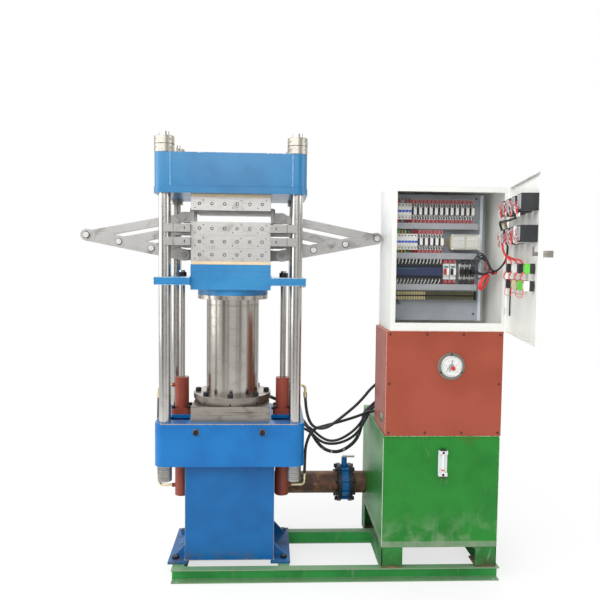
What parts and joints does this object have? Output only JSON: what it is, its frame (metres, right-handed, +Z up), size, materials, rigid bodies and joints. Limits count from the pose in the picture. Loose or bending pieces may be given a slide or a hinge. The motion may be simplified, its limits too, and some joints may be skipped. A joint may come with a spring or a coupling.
{
  "type": "hydraulic foaming press",
  "caption": "Four-column hydraulic foaming press with heated platens on a crossing-arm linkage, an oil tank with a pump set and an open control cabinet, all on one skid.",
  "frame": {"origin": "Centre of the four anchor holes in the skid, on the floor", "axes": "+X to the right towards the power unit, -Y towards the operator at the front, +Z up"},
  "size_m": [2.2125, 1.3252, 2.278],
  "materials": {
    "press_blue": "Blue machine enamel over welded and milled steel, light wear on edges",
    "ground_steel": "Ground and polished steel with fine lines round it",
    "chromed_rod": "Hard chromed and polished rod",
    "milled_steel": "Milled platen steel, light oil film, dull grey",
    "dark_steel": "Black oxide bolts, nuts and castings",
    "insulation_board": "Pale cream compressed insulation board",
    "jack_red": "Brick red enamel of the side cylinders",
    "pipe_brown": "Brown primer with rust",
    "tank_green": "Green enamel, scuffed, stained and worn on edges",
    "housing_terracotta": "Brick red paint",
    "cabinet_white": "Off-white powder coat",
    "plate_grey": "Zinc grey mounting plate",
    "device_plastic": "Moulded housings of switchgear",
    "dial_face": "White dial in a bright steel case behind glass",
    "signal_red": "Red moulded plastic",
    "signal_green": "Green moulded plastic",
    "hose_rubber": "Black rubber hydraulic hose with braid",
    "bright_fitting": "Zinc and brass plated hose fittings",
    "sight_glass": "Clear sight tube in a steel channel",
    "seal_rubber": "Black seal rubber"
  },
  "bodies": {
    "frame": {"skid_frame": "tank_green", "press_pedestal": "press_blue", "machine_bolts": "dark_steel", "press_bed": "press_blue", "columns": "ground_steel", "column_nuts": "ground_steel", "crown": "press_blue", "top_insulation": "insulation_board", "top_platen": "milled_steel", "main_cylinder": "milled_steel", "gland_flange": "ground_steel", "lift_cylinders": "jack_red", "prefill_pipe": "pipe_brown", "butterfly_valve": "press_blue", "oil_tank": "tank_green", "level_gauge": "sight_glass", "pump_motor": "press_blue", "valve_manifold": "milled_steel", "unit_housing": "housing_terracotta", "housing_panel": "housing_terracotta", "pressure_gauge": "dial_face", "control_cabinet": "cabinet_white", "mounting_plate": "plate_grey", "cabinet_devices": "device_plastic", "hose_fittings": "bright_fitting", "hose_right_lower": "hose_rubber", "hose_right_upper": "hose_rubber", "hose_left_upper": "hose_rubber", "hose_left_lower": "hose_rubber", "hose_main": "hose_rubber", "door_loom": "hose_rubber"},
    "hangers": {"linkage_hangers": "milled_steel"},
    "table": {"moving_table": "press_blue", "ram": "chromed_rod", "ram_head_flange": "ground_steel", "lift_rods": "chromed_rod", "lower_insulation": "insulation_board", "bottom_platen": "milled_steel", "lower_brackets": "milled_steel"},
    "upper_middle": {"upper_middle_platen": "milled_steel", "upper_middle_guides": "milled_steel"},
    "lower_middle": {"lower_middle_platen": "milled_steel", "lower_middle_guides": "milled_steel"},
    "door": {"cabinet_door": "cabinet_white", "door_devices": "device_plastic"},
    "door_handle": {"door_handle": "dark_steel"},
    "emergency_stop": {"emergency_stop": "signal_red"},
    "start_button": {"start_button": "signal_green"},
    "stop_button": {"stop_button": "signal_red"},
    "gauge_pointer": {"gauge_pointer": "signal_red"},
    "valve_disc": {"valve_disc": "ground_steel"},
    "motor_rotor": {"motor_rotor": "ground_steel"},
    "upper_arm_right": {"upper_arm_right": "ground_steel"},
    "lower_arm_right": {"lower_arm_right": "ground_steel"},
    "long_link_right": {"long_link_right": "ground_steel"},
    "short_link_right": {"short_link_right": "ground_steel"},
    "upper_arm_left": {"upper_arm_left": "ground_steel"},
    "lower_arm_left": {"lower_arm_left": "ground_steel"},
    "long_link_left": {"long_link_left": "ground_steel"},
    "short_link_left": {"short_link_left": "ground_steel"}
  },
  "joints": [
    {"name": "closing_lift", "type": "slide", "parent": "frame", "child": "hangers", "axis": [0, 0, 1], "range_m": [0, 0.057]},
    {"name": "table_lift", "type": "slide", "parent": "hangers", "child": "table", "axis": [0, 0, 1], "range_m": [-0.3, 0]},
    {"name": "upper_middle_slide", "type": "slide", "parent": "hangers", "child": "upper_middle", "axis": [0, 0, 1], "range_m": [-0.101, 0.001]},
    {"name": "lower_middle_slide", "type": "slide", "parent": "hangers", "child": "lower_middle", "axis": [0, 0, 1], "range_m": [-0.201, 0.001]},
    {"name": "upper_arm_hinge_right", "type": "hinge", "parent": "hangers", "child": "upper_arm_right", "pos_m": [-0.295, 0.02775, 1.8679], "axis": [0, 1, 0], "range_deg": [-1, 18.51]},
    {"name": "long_link_hinge_right", "type": "hinge", "parent": "upper_middle", "child": "long_link_right", "pos_m": [-0.295, 0.02775, 1.8016], "axis": [0, 1, 0], "range_deg": [-1, 18.51]},
    {"name": "short_link_hinge_right", "type": "hinge", "parent": "lower_middle", "child": "short_link_right", "pos_m": [-0.295, 0.02775, 1.7353], "axis": [0, 1, 0], "range_deg": [-1, 18.51]},
    {"name": "lower_arm_hinge_right", "type": "hinge", "parent": "table", "child": "lower_arm_right", "pos_m": [-0.295, 0.02775, 1.669], "axis": [0, 1, 0], "range_deg": [-18.51, 1]},
    {"name": "upper_arm_hinge_left", "type": "hinge", "parent": "hangers", "child": "upper_arm_left", "pos_m": [-0.815, 0.02775, 1.8679], "axis": [0, 1, 0], "range_deg": [-18.51, 1]},
    {"name": "long_link_hinge_left", "type": "hinge", "parent": "upper_middle", "child": "long_link_left", "pos_m": [-0.815, 0.02775, 1.8016], "axis": [0, 1, 0], "range_deg": [-18.51, 1]},
    {"name": "short_link_hinge_left", "type": "hinge", "parent": "lower_middle", "child": "short_link_left", "pos_m": [-0.815, 0.02775, 1.7353], "axis": [0, 1, 0], "range_deg": [-18.51, 1]},
    {"name": "lower_arm_hinge_left", "type": "hinge", "parent": "table", "child": "lower_arm_left", "pos_m": [-0.815, 0.02775, 1.669], "axis": [0, 1, 0], "range_deg": [-1, 18.51]},
    {"name": "door_hinge", "type": "hinge", "parent": "frame", "child": "door", "pos_m": [0.843, -0.23825, 1.66], "axis": [0, 0, 1], "range_deg": [-81, 39], "deforming": ["door_loom"]},
    {"name": "door_handle_hinge", "type": "hinge", "parent": "door", "child": "door_handle", "pos_m": [0.77182, -0.78991, 1.682], "axis": [-0.9877, 0.1564, 0], "range_deg": [-90, 0]},
    {"name": "emergency_stop_press", "type": "slide", "parent": "door", "child": "emergency_stop", "axis": [-0.9877, 0.1564, 0], "range_m": [0, 0.005], "stiffness_N_per_m": 800},
    {"name": "start_button_press", "type": "slide", "parent": "door", "child": "start_button", "axis": [-0.9877, 0.1564, 0], "range_m": [0, 0.005], "stiffness_N_per_m": 800},
    {"name": "stop_button_press", "type": "slide", "parent": "door", "child": "stop_button", "axis": [-0.9877, 0.1564, 0], "range_m": [0, 0.005], "stiffness_N_per_m": 800},
    {"name": "pointer_hinge", "type": "hinge", "parent": "frame", "child": "gauge_pointer", "pos_m": [0.568, -0.23425, 1.118], "axis": [0, 1, 0], "range_deg": [0, 270]},
    {"name": "valve_stem_hinge", "type": "hinge", "parent": "frame", "child": "valve_disc", "pos_m": [0.103, 0.38775, 0.302], "axis": [0, 0, 1], "range_deg": [0, 90]},
    {"name": "rotor_hinge", "type": "hinge", "parent": "frame", "child": "motor_rotor", "pos_m": [0.595, -0.06725, 0.9], "axis": [0, 0, 1], "continuous": true}
  ],
  "couplings": [
    {"joint": "upper_middle_slide", "follows": "table_lift", "ratio": 0.33333},
    {"joint": "lower_middle_slide", "follows": "table_lift", "ratio": 0.66667},
    {"joint": "upper_arm_hinge_right", "follows": "table_lift", "rad_per_m": -1.0185},
    {"joint": "long_link_hinge_right", "follows": "table_lift", "rad_per_m": -1.0185},
    {"joint": "short_link_hinge_right", "follows": "table_lift", "rad_per_m": -1.0185},
    {"joint": "lower_arm_hinge_right", "follows": "table_lift", "rad_per_m": 1.0185},
    {"joint": "upper_arm_hinge_left", "follows": "table_lift", "rad_per_m": 1.0185},
    {"joint": "long_link_hinge_left", "follows": "table_lift", "rad_per_m": 1.0185},
    {"joint": "short_link_hinge_left", "follows": "table_lift", "rad_per_m": 1.0185},
    {"joint": "lower_arm_hinge_left", "follows": "table_lift", "rad_per_m": -1.0185}
  ]
}
